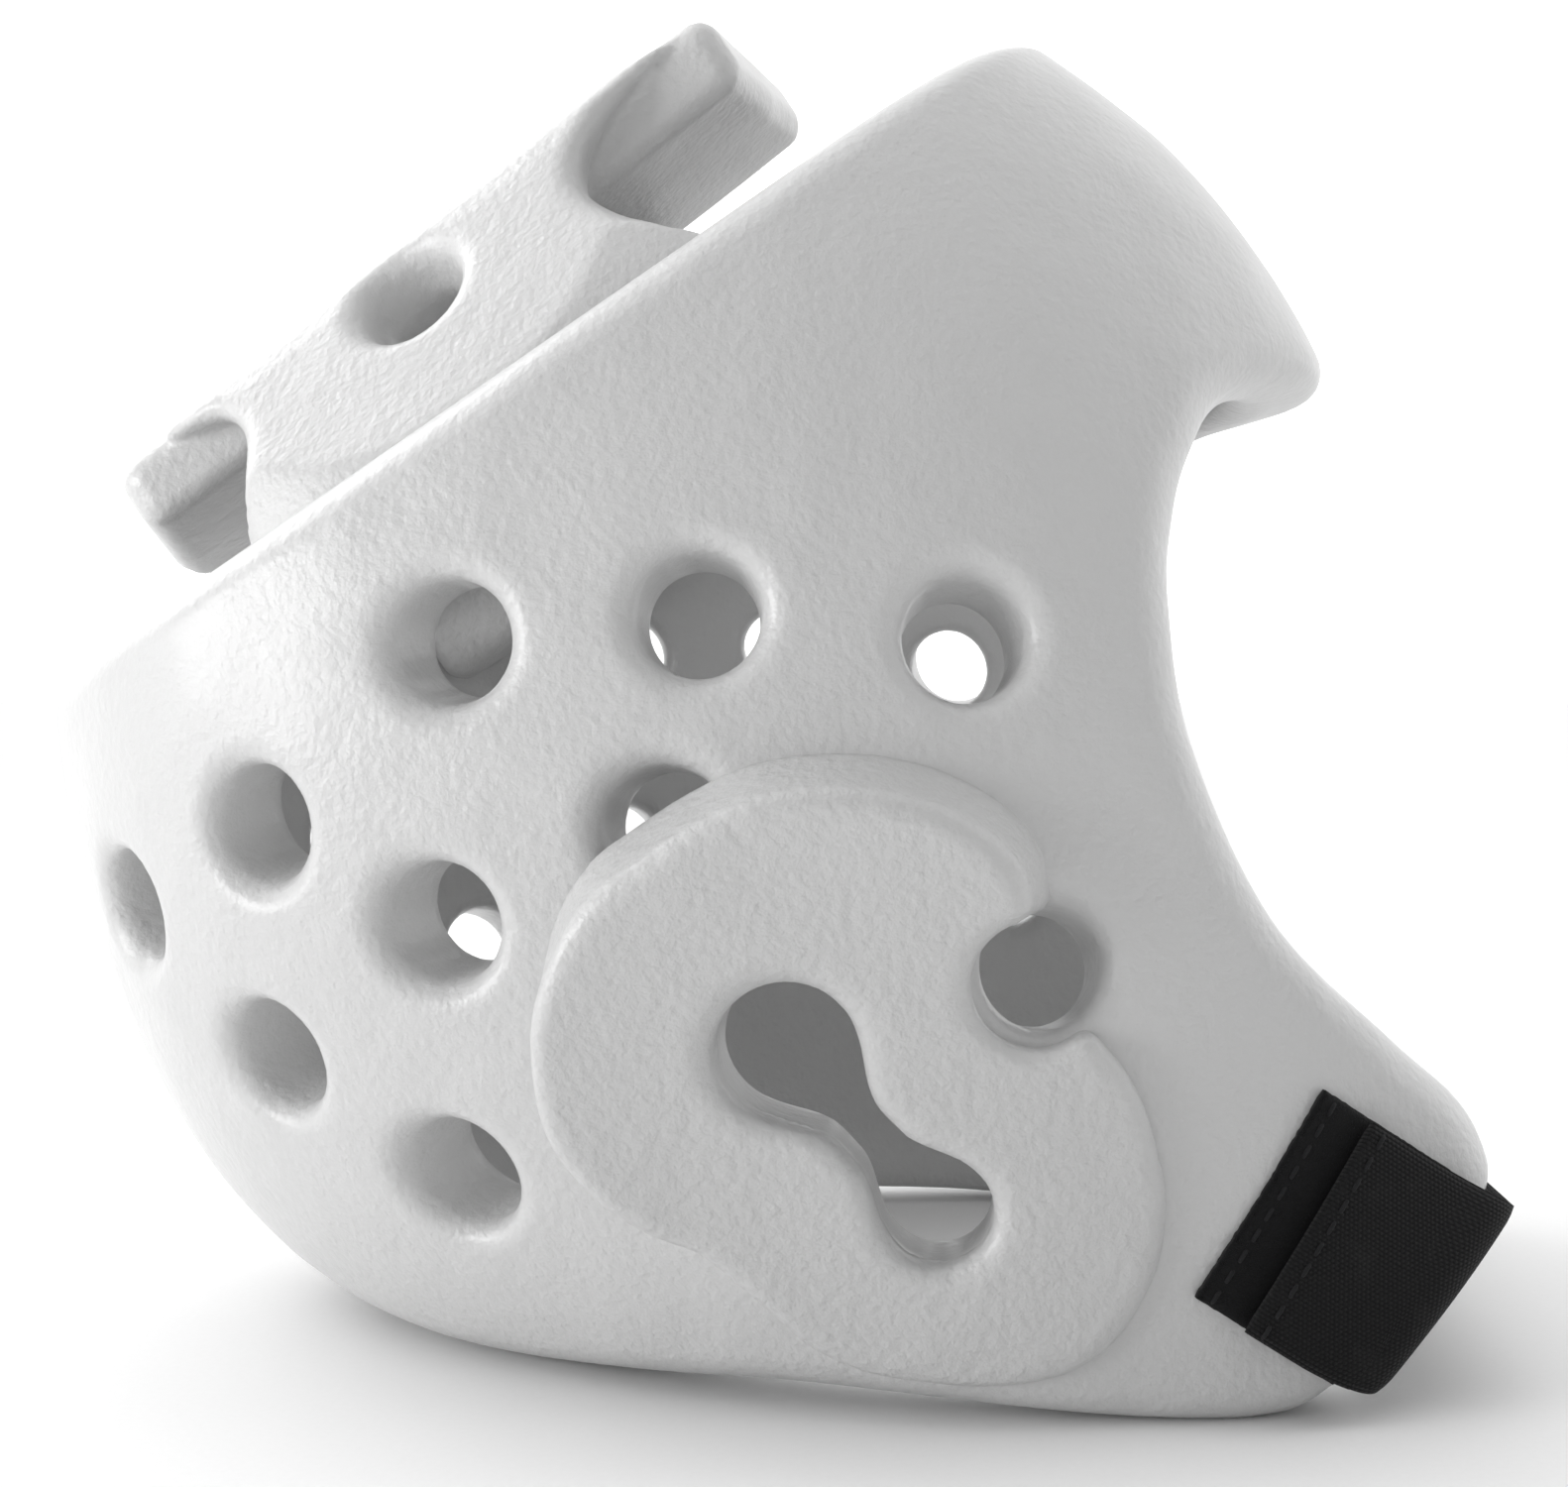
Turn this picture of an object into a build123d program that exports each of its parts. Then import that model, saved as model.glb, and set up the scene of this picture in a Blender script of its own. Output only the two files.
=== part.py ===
"""Dipped-foam martial-arts head guard with a crown pad, ear pads and a hook-and-loop chin strap.

Millimetres. +X points to the face, +Y to the wearer's left, +Z up. The guard stands on its lower
rim with the crown tipped back. The origin is the centre of the footprint, on the floor.
"""

import os
from math import cos, degrees, atan2, radians, sin, sqrt

from build123d import *

# Head frame: the guard as worn, tipped back on the floor
tilt = 33.8
head_x = 37.26
head_z = 113.6

# Foam shell, in the head frame: (height, front, rear, half width) of each level outline
foam = 18
widest_x = -40
shell_levels = [
    (-135, 55, -92, 78),
    (-105, 64, -112, 84),
    (-75, 71, -134, 88.5),
    (-45, 79, -152, 92.5),
    (-15, 87, -163, 95),
    (15, 92, -165, 95.5),
    (45, 94, -161, 94),
    (72, 90, -151, 89),
    (98, 80, -138, 81),
]
rim_middle = 93
rim_side = 79
rim_side_y = 86
cut_width = 300
side_seam_x = -35.5

# Vents, in the head frame: (x, height) on each side wall
vent_mouth = 10
vent_throat = 7.8
vent_depth = 24
vent_lift = 6
vent_places = [
    (-59, 49),
    (-24, 31),
    (8, 5.5),
    (-103.5, 43.5),
    (-85.5, 14),
    (-137.5, 47),
    (-125.5, 11.5),
    (-108, -21),
    (-46.5, 7),
    (-10, -42.5),
]

# Crown pad, in the head frame
crown_foam = 14
crown_top = 120
crown_shoulder = 38
crown_foot_y = 70
crown_foot_z = 80
crown_foot_low = 62
crown_front = 34
crown_rear = -103
crown_leg_front = 12
crown_leg_rear = -84
crown_bend_front = -3
crown_bend_rear = -75
crown_bend_z = 104
crown_bend_radius = 18
plate_half_width = 33
crown_vent_x = -39
crown_vent_rise = 0.66

# Ear pads: the outer face leans, so the pad dies into the shell at its lower front
pad_face = 82.8
pad_lean_x = -0.08
pad_lean_z = 0.24
slot_upper = (-23.5, 60)
slot_upper_radius = 10.9
slot_lower = (-0.8, 35)
slot_lower_radius = 8.2
slot_neck = 8.6
slot_blend = 6
notch_low = (22, 64.2)
notch_back = (4.6, 66.9)
notch_high = (12, 80.1)

# Hook-and-loop chin strap
strap_width = 40
strap_slope = 33.8
patch_at = (48.8, 36.6)
patch_length = 26
patch_half_width = 18.5
loop_thickness = 1.4
body_gap = 0.4
hook_thickness = 1.0
web_thickness = 1.8
tab_start = 9
fold_at = 28
fold_gap = 0.4
tab_view = 0.96
web_reach = 36.5
web_rise = 4
web_skew = 0.05
web_wrap = 6
stitch_length = 2.4
stitch_width = 0.8
stitch_height = 0.5
stitch_pitch = 3.4
stitch_count = 10
stitch_inset = 2.5

head = Plane(
    origin=(head_x, 0, head_z),
    x_dir=(cos(radians(tilt)), 0, sin(radians(tilt))),
    z_dir=(-sin(radians(tilt)), 0, cos(radians(tilt))),
)
side_view = Plane(origin=(head_x, 0, 0), x_dir=(1, 0, 0), z_dir=(0, -1, 0))
head_side = Plane(origin=head.origin, x_dir=head.x_dir, z_dir=(0, -1, 0))
head_front = Plane(origin=head.origin, x_dir=(0, 1, 0), z_dir=head.x_dir)


pad_plane = Plane(origin=(head_x, -pad_face, 0), z_dir=(-pad_lean_x, -1, -pad_lean_z))


def level_at(height):
    """Front, rear and half width of the shell's outline at a height in the head frame."""
    for low, high in zip(shell_levels, shell_levels[1:]):
        if height <= high[0]:
            part_way = (height - low[0]) / (high[0] - low[0])
            return [a + part_way * (b - a) for a, b in zip(low[1:], high[1:])]
    return shell_levels[-1][1:]


def wall_y(x, height):
    """Half width of the outer wall at a place in the head frame."""
    front, rear, width = level_at(height)
    reach = front - widest_x if x > widest_x else widest_x - rear
    return width * sqrt(max(0, 1 - ((x - widest_x) / reach) ** 2))


def outline(front, rear, width):
    """Egg-shaped level outline: two half ellipses that meet at the widest place."""
    with BuildSketch() as sketch:
        with BuildLine():
            EllipticalCenterArc((widest_x, 0), front - widest_x, width, start_angle=-90, arc_size=180)
            EllipticalCenterArc((widest_x, 0), widest_x - rear, width, start_angle=90, arc_size=180)
        make_face()
    return sketch.sketch


def skin(offset, levels=shell_levels):
    """Closed body of the shell's outer surface, grown by an offset."""
    with BuildPart() as body:
        for height, front, rear, width in levels:
            with BuildSketch(head.offset(height)):
                add(outline(front + offset, rear - offset, width + offset))
        loft()
    return body.part


def slot_outline():
    """Ear slot: two round lobes joined by a narrow neck."""
    run = (slot_lower[0] - slot_upper[0], slot_lower[1] - slot_upper[1])
    middle = ((slot_lower[0] + slot_upper[0]) / 2, (slot_lower[1] + slot_upper[1]) / 2)
    with BuildSketch() as sketch:
        with Locations(slot_upper):
            Circle(slot_upper_radius)
        with Locations(slot_lower):
            Circle(slot_lower_radius)
        with Locations(Location((*middle, 0), (0, 0, degrees(atan2(run[1], run[0]))))):
            Rectangle(sqrt(run[0] ** 2 + run[1] ** 2), slot_neck)
        fillet(sketch.vertices(), slot_blend)
    return sketch.sketch


def ear_outline():
    """Kidney outline of the ear pad, with the round notch in its front edge."""
    with BuildSketch() as sketch:
        with BuildLine():
            Spline(
                notch_high,
                (9.5, 89),
                (1, 95.8),
                (-17.5, 99.5),
                (-43, 89.5),
                (-59.5, 69),
                (-58.5, 44),
                (-40, 28.7),
                (-26, 18.5),
                (-12.5, 9.5),
                (6, 7.5),
                (26, 15),
                (33.5, 33),
                (30.5, 51),
                notch_low,
            )
            ThreePointArc(notch_low, notch_back, notch_high)
        make_face()
    return sketch.sketch


strap_view = Plane(
    origin=(head_x + patch_at[0], 0, patch_at[1]),
    x_dir=(cos(radians(strap_slope)), 0, -sin(radians(strap_slope))),
    z_dir=(0, -1, 0),
)


def on_flap(along, across, stand_off):
    """Point at a distance outside the right chin flap, placed along and across the strap."""
    flat = strap_view.from_local_coords(Vector(along, across, 0))
    seen = head.to_local_coords(flat)
    return Vector(flat.X, -wall_y(seen.X, seen.Z) - stand_off, flat.Z)


def flap_layer(inner, outer, start, end, half_width):
    """Closed body that lies on the right chin flap between two distances from its surface."""
    with BuildPart() as layer:
        add(skin(outer))
        add(skin(inner), mode=Mode.SUBTRACT)
        with BuildSketch(strap_view):
            with Locations(((start + end) / 2, 0)):
                Rectangle(end - start, 2 * half_width)
        extrude(amount=cut_width, mode=Mode.INTERSECT)
    return layer.part


def stitch_row(base, along, half_width):
    """Row of raised stitches across the strap on the right chin flap."""
    with BuildPart() as row:
        add(skin(base + stitch_height))
        add(skin(base), mode=Mode.SUBTRACT)
        with BuildSketch(strap_view):
            with Locations((along, 0)):
                with GridLocations(stitch_pitch, 2 * half_width / stitch_count, 1, stitch_count):
                    Rectangle(stitch_width, stitch_length)
        extrude(amount=cut_width, mode=Mode.INTERSECT)
    return row.part


# Closed bodies of the shell's outer surface and of the plain wall below its crowned top rim
outer_body = skin(0)

with BuildPart() as plain_wall:
    add(outer_body)
    add(skin(-foam), mode=Mode.SUBTRACT)
    with BuildSketch(head_front):
        with BuildLine():
            ThreePointArc((-rim_side_y, rim_side), (0, rim_middle), (rim_side_y, rim_side))
            Polyline(
                (rim_side_y, rim_side),
                (cut_width, rim_side),
                (cut_width, cut_width),
                (-cut_width, cut_width),
                (-cut_width, rim_side),
                (-rim_side_y, rim_side),
            )
        make_face()
    extrude(amount=cut_width, both=True, mode=Mode.SUBTRACT)

with BuildPart() as right_shell:
    add(plain_wall.part)
    split(bisect_by=Plane.XZ, keep=Keep.TOP)
    # Face opening, from the brow round the cheek to the tip of the chin flap
    with BuildSketch(side_view):
        with BuildLine():
            Spline(
                (78, 176),
                (50, 170.5),
                (37, 152),
                (33.7, 130.6),
                (36.8, 107.5),
                (50, 79.6),
                (70, 60),
                (84, 48),
            )
            Spline((84, 48), (88, 37), (83, 27), tangents=((0.8, -0.7), (-0.7, -0.9)))
            Polyline((83, 27), (65, 5), (65, -cut_width), (cut_width, -cut_width), (cut_width, 176), (78, 176))
        make_face()
    extrude(amount=cut_width, both=True, mode=Mode.SUBTRACT)
    # Lower rim: flat feet under the chin flap and beside the nape, arched between them
    with BuildSketch(side_view):
        with BuildLine():
            Spline((68, 8.5), (58, 1.5), (50, 0), tangents=((-0.7, -0.7), (-1, 0)))
            Line((50, 0), (38, 0))
            Spline((38, 0), (12, 3.5), (-20, 6.6), (-50, 4.8), (-74, 0), tangents=((-1, 0), (-1, 0)))
            Line((-74, 0), (-90, 0))
            Spline((-90, 0), (-110, 2.5), (-135, 10), tangents=((-1, 0), (-1, 0.4)))
            Polyline((-135, 10), (-cut_width, 10), (-cut_width, -cut_width), (68, -cut_width), (68, 8.5))
        make_face()
    extrude(amount=cut_width, both=True, mode=Mode.SUBTRACT)
    # Conical vents, square to the wall and tipped up a little
    for x, height in vent_places:
        front, rear, width = level_at(height)
        reach = front - widest_x if x > widest_x else widest_x - rear
        normal = Vector((x - widest_x) / reach**2, -wall_y(x, height) / width**2, 0)
        way = normal.normalized() + Vector(0, 0, sin(radians(vent_lift)))
        mouth = Vector(x, -wall_y(x, height), height)
        outside = head.from_local_coords(mouth + way * vent_depth)
        inside = head.from_local_coords(mouth - way * vent_depth)
        with Locations(Location(Plane(origin=inside, z_dir=outside - inside))):
            Cone(
                vent_throat,
                vent_mouth + (vent_mouth - vent_throat),
                2 * vent_depth,
                align=(Align.CENTER, Align.CENTER, Align.MIN),
                mode=Mode.SUBTRACT,
            )
    # Ear slot
    with BuildSketch(side_view):
        add(slot_outline())
    extrude(amount=cut_width, mode=Mode.SUBTRACT)

# The shell is four panels that meet along the middle and down each side, between the vents
side_seam = Plane(origin=head.from_local_coords(Vector(side_seam_x, 0, 0)), z_dir=head.x_dir)

with BuildPart() as shell_front_right:
    add(right_shell.part)
    split(bisect_by=side_seam, keep=Keep.TOP)
shell_front_right.part.label = "shell_front_right"

with BuildPart() as shell_rear_right:
    add(right_shell.part)
    split(bisect_by=side_seam, keep=Keep.BOTTOM)
shell_rear_right.part.label = "shell_rear_right"

with BuildPart() as shell_front_left:
    mirror(shell_front_right.part, about=Plane.XZ)
shell_front_left.part.label = "shell_front_left"

with BuildPart() as shell_rear_left:
    mirror(shell_rear_right.part, about=Plane.XZ)
shell_rear_left.part.label = "shell_rear_left"

with BuildPart() as crown_arch:
    # Arch across the head: a flat top plate on two sloping legs whose feet stand inside the rim
    with BuildSketch(head_front.offset(crown_rear)):
        with BuildLine():
            arch = FilletPolyline(
                (-crown_foot_y, crown_foot_low),
                (-crown_foot_y, crown_foot_z),
                (-crown_shoulder, crown_top),
                (crown_shoulder, crown_top),
                (crown_foot_y, crown_foot_z),
                (crown_foot_y, crown_foot_low),
                radius=crown_bend_radius,
            )
            offset(arch, amount=crown_foam, side=Side.RIGHT)
        make_face()
    extrude(amount=crown_front - crown_rear)

with BuildPart() as crown_plate:
    add(crown_arch.part)
    split(bisect_by=Plane.XZ.offset(plate_half_width), keep=Keep.BOTTOM)
    split(bisect_by=Plane.XZ.offset(-plate_half_width), keep=Keep.TOP)
crown_plate.part.label = "crown_plate"

with BuildPart() as crown_leg_right:
    add(crown_arch.part)
    split(bisect_by=Plane.XZ.offset(plate_half_width), keep=Keep.TOP)
    # Openings before and behind the leg, under the ends of the plate
    with BuildSketch(head_side.offset(plate_half_width)):
        for leg_edge, bend, end in (
            (crown_leg_front, crown_bend_front, crown_front),
            (crown_leg_rear, crown_bend_rear, crown_rear),
        ):
            past_end = end + (end - bend)
            with BuildLine():
                edge = Spline(
                    (leg_edge, crown_foot_z - 2),
                    (bend, crown_bend_z),
                    (end, crown_top + 1),
                    tangents=((bend - leg_edge, 18), (end - bend, 4)),
                )
                Polyline(
                    edge @ 1,
                    (past_end, crown_top + 1),
                    (past_end, crown_foot_low - 1),
                    (leg_edge, crown_foot_low - 1),
                    edge @ 0,
                )
            make_face()
    extrude(amount=crown_foot_y, mode=Mode.SUBTRACT)
    # Vent high on the sloping leg, square to it
    mouth_y = crown_foot_y + crown_vent_rise * (crown_shoulder - crown_foot_y)
    mouth_z = crown_foot_z + crown_vent_rise * (crown_top - crown_foot_z)
    mouth = head.from_local_coords(Vector(crown_vent_x, -mouth_y, mouth_z))
    outside = head.from_local_coords(
        Vector(crown_vent_x, -mouth_y - (crown_top - crown_foot_z), mouth_z + (crown_foot_y - crown_shoulder))
    )
    with Locations(Location(Plane(origin=mouth, z_dir=outside - mouth))):
        Cone(vent_throat - 2, vent_mouth + 2, 4 * crown_foam, mode=Mode.SUBTRACT)
    # The foot is trimmed to the inside of the shell
    add(plain_wall.part, mode=Mode.SUBTRACT)
crown_leg_right.part.label = "crown_leg_right"

with BuildPart() as crown_leg_left:
    mirror(crown_leg_right.part, about=Plane.XZ)
crown_leg_left.part.label = "crown_leg_left"

with BuildPart() as ear_pad_right:
    with BuildSketch(side_view):
        add(ear_outline())
        add(slot_outline(), mode=Mode.SUBTRACT)
    extrude(amount=cut_width)
    split(bisect_by=pad_plane, keep=Keep.BOTTOM)
    add(outer_body, mode=Mode.SUBTRACT)
ear_pad_right.part.label = "ear_pad_right"

with BuildPart() as ear_pad_left:
    mirror(ear_pad_right.part, about=Plane.XZ)
ear_pad_left.part.label = "ear_pad_left"

# Right side: loop patch on the flap, then the strap's free end with its hook patch underneath
hook_base = loop_thickness + body_gap
tab_base = hook_base + hook_thickness
strap_half = strap_width / 2

with BuildPart() as loop_patch:
    add(flap_layer(0, loop_thickness, 0, patch_length, patch_half_width))
loop_patch.part.label = "loop_patch"

with BuildPart() as hook_patch:
    add(flap_layer(hook_base, tab_base, tab_start + 1, patch_length, patch_half_width))
hook_patch.part.label = "hook_patch"

with BuildPart() as strap_tab:
    add(flap_layer(tab_base, tab_base + web_thickness, tab_start, fold_at, strap_half * tab_view))
strap_tab.part.label = "strap_tab"

# Left side: the strap's other end is sewn down through a backing patch
with BuildPart() as anchor_patch:
    mirror(flap_layer(0, tab_base, 0, patch_length, patch_half_width), about=Plane.XZ)
anchor_patch.part.label = "anchor_patch"

with BuildPart() as strap_anchor:
    mirror(strap_tab.part, about=Plane.XZ)
strap_anchor.part.label = "strap_anchor"

# Strap web: from one fold round the flap's front edge, straight across under the chin, to the other
web_middle = tab_base + web_thickness / 2
flap_lean = (on_flap(fold_at, strap_half, 0).Y - on_flap(fold_at, -strap_half, 0).Y) / strap_width
flap_taper = (on_flap(fold_at + 1, 0, 0).Y - on_flap(fold_at - 1, 0, 0).Y) / 2
web_origin = strap_view.from_local_coords(Vector(0, web_rise, 0))
web_along = strap_view.from_local_coords(Vector(1, web_rise - web_skew, 0)) - web_origin
web_across = strap_view.from_local_coords(Vector(web_skew, web_rise + 1, 0)) - web_origin
fold_y = on_flap(fold_at, web_rise, web_middle).Y
with BuildPart() as strap_web:
    with BuildSketch(Plane(origin=web_origin, x_dir=web_along, z_dir=web_across)):
        with BuildLine():
            FilletPolyline(
                (fold_at - web_wrap, fold_y - flap_taper * web_wrap),
                (web_reach, fold_y + flap_taper * (web_reach - fold_at)),
                (web_reach, strap_half),
                radius=web_wrap,
            )
        trace(line_width=web_thickness)
    extrude(amount=strap_half, dir=(web_across + Vector(0, flap_lean, 0)).normalized(), both=True)
    split(bisect_by=Plane.XZ, keep=Keep.TOP)
    # Cut square at the fold
    with BuildSketch(strap_view):
        with Locations((fold_at + fold_gap - strap_width / 2, 0)):
            Rectangle(strap_width, 2 * strap_width)
    extrude(amount=cut_width, mode=Mode.SUBTRACT)
    mirror(about=Plane.XZ)
strap_web.part.label = "strap_web"

# Stitching: one row on the loop patch, one through the hook patch, two on the sewn end
with BuildPart() as patch_stitching:
    add(stitch_row(loop_thickness, stitch_inset, patch_half_width))
patch_stitching.part.label = "patch_stitching"

with BuildPart() as tab_stitching:
    add(stitch_row(tab_base + web_thickness, tab_start + stitch_inset, patch_half_width))
tab_stitching.part.label = "tab_stitching"

with BuildPart() as anchor_stitching:
    mirror(tab_stitching.part, about=Plane.XZ)
    mirror(stitch_row(tab_base + web_thickness, fold_at - stitch_inset, patch_half_width), about=Plane.XZ)
anchor_stitching.part.label = "anchor_stitching"

os.makedirs("parts", exist_ok=True)
export_step(shell_front_right.part, "parts/shell_front_right.step")
export_step(shell_front_left.part, "parts/shell_front_left.step")
export_step(shell_rear_right.part, "parts/shell_rear_right.step")
export_step(shell_rear_left.part, "parts/shell_rear_left.step")
export_step(crown_plate.part, "parts/crown_plate.step")
export_step(crown_leg_right.part, "parts/crown_leg_right.step")
export_step(crown_leg_left.part, "parts/crown_leg_left.step")
export_step(ear_pad_right.part, "parts/ear_pad_right.step")
export_step(ear_pad_left.part, "parts/ear_pad_left.step")
export_step(loop_patch.part, "parts/loop_patch.step")
export_step(hook_patch.part, "parts/hook_patch.step")
export_step(strap_tab.part, "parts/strap_tab.step")
export_step(strap_web.part, "parts/strap_web.step")
export_step(anchor_patch.part, "parts/anchor_patch.step")
export_step(strap_anchor.part, "parts/strap_anchor.step")
export_step(patch_stitching.part, "parts/patch_stitching.step")
export_step(tab_stitching.part, "parts/tab_stitching.step")
export_step(anchor_stitching.part, "parts/anchor_stitching.step")
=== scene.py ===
"""Looks of a dipped-foam head guard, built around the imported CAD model. Blender works in metres;
the foam is shaped by distance fields in millimetres, in the head frame: x to the face, y across,
z up the head. The head frame is the row frame turned back by TILT about the y axis."""

import math

import bpy
import numpy as np
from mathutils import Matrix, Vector


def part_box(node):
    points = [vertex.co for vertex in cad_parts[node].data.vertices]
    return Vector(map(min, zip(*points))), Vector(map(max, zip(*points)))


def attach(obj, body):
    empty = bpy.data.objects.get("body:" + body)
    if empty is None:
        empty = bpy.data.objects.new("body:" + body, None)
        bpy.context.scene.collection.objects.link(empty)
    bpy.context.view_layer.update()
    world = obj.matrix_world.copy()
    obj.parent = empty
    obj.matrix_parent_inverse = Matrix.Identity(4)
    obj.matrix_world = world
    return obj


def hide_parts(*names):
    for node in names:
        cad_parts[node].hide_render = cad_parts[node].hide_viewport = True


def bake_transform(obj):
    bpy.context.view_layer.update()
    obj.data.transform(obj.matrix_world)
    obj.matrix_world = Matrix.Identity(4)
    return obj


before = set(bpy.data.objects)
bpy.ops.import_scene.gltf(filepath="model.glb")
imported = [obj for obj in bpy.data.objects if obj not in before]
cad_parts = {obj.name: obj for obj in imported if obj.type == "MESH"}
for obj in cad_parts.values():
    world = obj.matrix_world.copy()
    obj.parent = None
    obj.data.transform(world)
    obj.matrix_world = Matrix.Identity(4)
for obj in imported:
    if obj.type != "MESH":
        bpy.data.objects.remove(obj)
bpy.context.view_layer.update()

# ---------------------------------------------------------------- driving dimensions, millimetres
MM = 0.001
VOXEL = 1.3
TILT = math.radians(33.8)
REAR_REACH = 167.39
TOP_RISE = 122.54
HEAD_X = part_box("shell_rear_right")[0].x / MM + REAR_REACH
HEAD_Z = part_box("shell_front_right")[1].z / MM - TOP_RISE

FOAM = 18.0
WIDEST_X = -40.0
# The outline by height in the head frame: front, rear and half width
LEVELS = np.array([
    (-135, 55, -92, 78),
    (-105, 64, -112, 84),
    (-75, 71, -134, 88.5),
    (-45, 79, -152, 92.5),
    (-15, 87, -163, 95),
    (15, 92, -165, 95.5),
    (45, 93, -161, 94),
    (72, 88, -151, 89),
    (98, 77.5, -138, 81),
], float)
LEVEL_FIT = [np.polyfit(LEVELS[:, 0], LEVELS[:, k], 5) for k in (1, 2, 3)]
LEVEL_SLOPE = [np.polyder(fit) for fit in LEVEL_FIT]
RIM_MIDDLE = 91.8
RIM_SIDE = 79.0
RIM_SIDE_Y = 86.0
RIM_ROUND = 4.0
RIM_STEEP = 1.03
EDGE_ROUND = 6.5
BROW_DIP = 6.5
BROW_WIDTH = 62.0

VENT_MOUTH = 10.0
VENT_THROAT = 8.3
VENT_LIFT = math.sin(math.radians(6))
VENT_ROUND = 4.4
VENT_TURN = -0.09
VENT_TURN_FROM = -50.0
VENT_NEAR = 42.0
# Where the vents of the right wall lie, along and up in the head frame
VENTS = [
    (-59, 49), (-24, 31), (8, 5.5), (-103.5, 43.5), (-85.5, 14),
    (-137.5, 47), (-125.5, 11.5), (-108, -21), (-46.5, 7), (-10, -42.5),
]

SLOT_LOBES = ((-23.5, 60, 10.9), (-0.8, 35, 8.2))
SLOT_NECK = 4.3
SLOT_BLEND = 6.0
SLOT_ROUND = 4.0
SLOT_MIDDLE = (-12, 50)
SLOT_NEAR = 50
SLOT_SIDE = -20

PAD_FACE = 79.2
PAD_LEAN_X = -0.1145
PAD_LEAN_Z = 0.2713
PAD_LEAST = 2.2
PAD_SINK = 3.5
PAD_ROUND = 3.0
PAD_BLEND = 4
PAD_NOTCH_ROUND = 2
PAD_NOTCH = (14.0, 70.3, 10.0)
PAD_DRAFT = 0.35
PAD_DRAFT_FROM = 60.0
PAD_DRAFT_OVER = 30
PAD_DRAFT_DEEP = 15

CROWN_FOAM = 14.0
CROWN_ROUND = 4.5
CROWN_FRONT = 36.5
CROWN_REAR = -111.0
CROWN_FRONT_SKEW = 0.15
CROWN_REAR_SKEW = -0.24
CROWN_SLOPE = 0.055
CROWN_RISE = 5.6
CROWN_FAR_LEG = 9.0
CROWN_VENT = (-38.5, -45.5, 109.5)
CROWN_VENT_WAY = (0, -0.72, 0.694)
PLATE_HALF = 33.0
CROWN_FOOT = 62
CROWN_TURN_FROM = 80
CROWN_TURN_OVER = 33

# Height, cell size and seed of the waves in each skin
SHELL_WAVES = (0.35, 26, 3)
SHELL_RIPPLES = (0.12, 9, 4)
PAD_WAVES = (0.15, 12, 7)
CROWN_WAVES = (0.25, 20, 9)


# ---------------------------------------------------------------- distance fields
def round_max(a, b, radius):
    """Both at once, with the corner between them rounded."""
    corner = np.hypot(np.maximum(radius + a, 0), np.maximum(radius + b, 0))
    return np.minimum(-radius, np.maximum(a, b)) + corner


def soft_min(a, b, blend):
    """Either one, with the valley between them filled."""
    return -round_max(-a, -b, blend)


def smooth_curve(points, closed=False, steps=10):
    """Points along a Catmull-Rom curve through the given ones."""
    points = np.array(points, float)
    if closed:
        ring = np.vstack([points[-1], points, points[:2]])
    else:
        ring = np.vstack([2 * points[0] - points[1], points, 2 * points[-1] - points[-2]])
    t = np.linspace(0, 1, steps, endpoint=False)[:, None]
    spans = []
    for before, start, end, after in zip(ring, ring[1:], ring[2:], ring[3:]):
        spans.append(0.5 * (2 * start + (end - before) * t
                            + (2 * before - 5 * start + 4 * end - after) * t ** 2
                            + (3 * start - before - 3 * end + after) * t ** 3))
    curve = np.vstack(spans)
    return curve if closed else np.vstack([curve, points[-1]])


def curve_distance(curve, u, v, closed):
    """Distance from each (u, v) to a polyline, negative inside it if it is closed."""
    nearest = np.full(u.shape, 1e9)
    inside = np.zeros(u.shape, bool)
    ends = np.roll(curve, -1, axis=0) if closed else curve[1:]
    for (u0, v0), (u1, v1) in zip(curve, ends):
        du, dv = u1 - u0, v1 - v0
        along = np.clip(((u - u0) * du + (v - v0) * dv) / (du * du + dv * dv + 1e-12), 0, 1)
        nearest = np.minimum(nearest, (u - u0 - along * du) ** 2 + (v - v0 - along * dv) ** 2)
        if closed and v0 != v1:
            inside ^= ((v0 > v) != (v1 > v)) & (u < u0 + (v - v0) * du / dv)
    return np.sqrt(nearest) * np.where(inside, -1, 1)


class Chart:
    """A flat distance field, sampled once on a grid and read back between the grid's points."""

    def __init__(self, curve, closed, low, high, step=1.0):
        self.low, self.step = np.array(low, float), step
        axes = [np.arange(a, b + step, step) for a, b in zip(low, high)]
        u, v = np.meshgrid(*axes, indexing="ij")
        self.values = curve_distance(curve, u, v, closed)

    def __call__(self, u, v):
        a = np.clip((u - self.low[0]) / self.step, 0, self.values.shape[0] - 1.001)
        b = np.clip((v - self.low[1]) / self.step, 0, self.values.shape[1] - 1.001)
        i, j = a.astype(int), b.astype(int)
        a, b = a - i, b - j
        f = self.values
        return ((f[i, j] * (1 - a) + f[i + 1, j] * a) * (1 - b)
                + (f[i, j + 1] * (1 - a) + f[i + 1, j + 1] * a) * b)


FAR = 400.0
STAND_LOW, STAND_HIGH = (-180, -15), (110, 250)

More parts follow.
